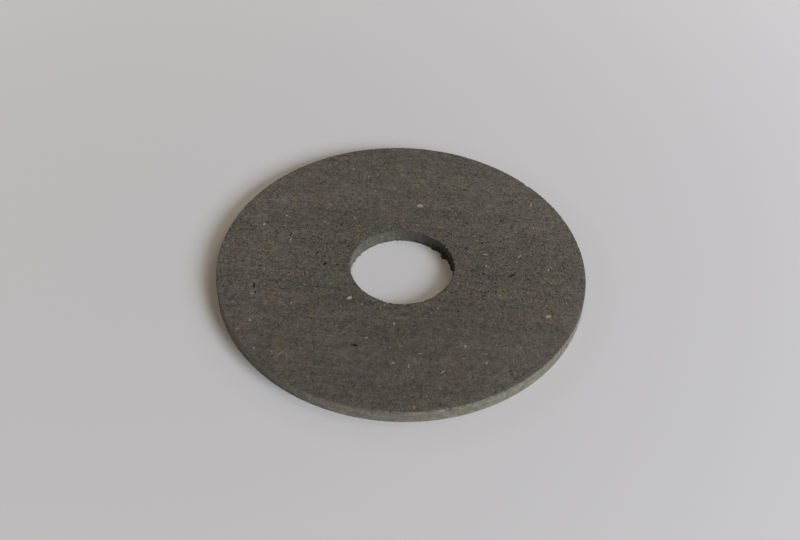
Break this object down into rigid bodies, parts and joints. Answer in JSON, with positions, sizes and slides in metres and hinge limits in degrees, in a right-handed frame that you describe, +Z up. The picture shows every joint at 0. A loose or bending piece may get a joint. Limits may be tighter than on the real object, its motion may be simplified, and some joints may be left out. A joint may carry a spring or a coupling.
{
  "type": "friction washer",
  "caption": "Flat ring of moulded friction material with a plain round bore, clamped between plates on a spindle to give a steady drag.",
  "frame": {"origin": "on the bore's axis, in the face that the ring rests on", "axes": "+Z up along the ring's axis, from the resting face to the upper face; X and Y lie in the plane of the ring, which is the same all round"},
  "size_m": [0.05, 0.05, 0.002],
  "materials": {
    "friction_material": "ground, dry and matt, dark grey with fine pits and fibre flecks; the cut rim is paler"
  },
  "bodies": {
    "root": {"friction_washer": "friction_material"}
  },
  "joints": []
}
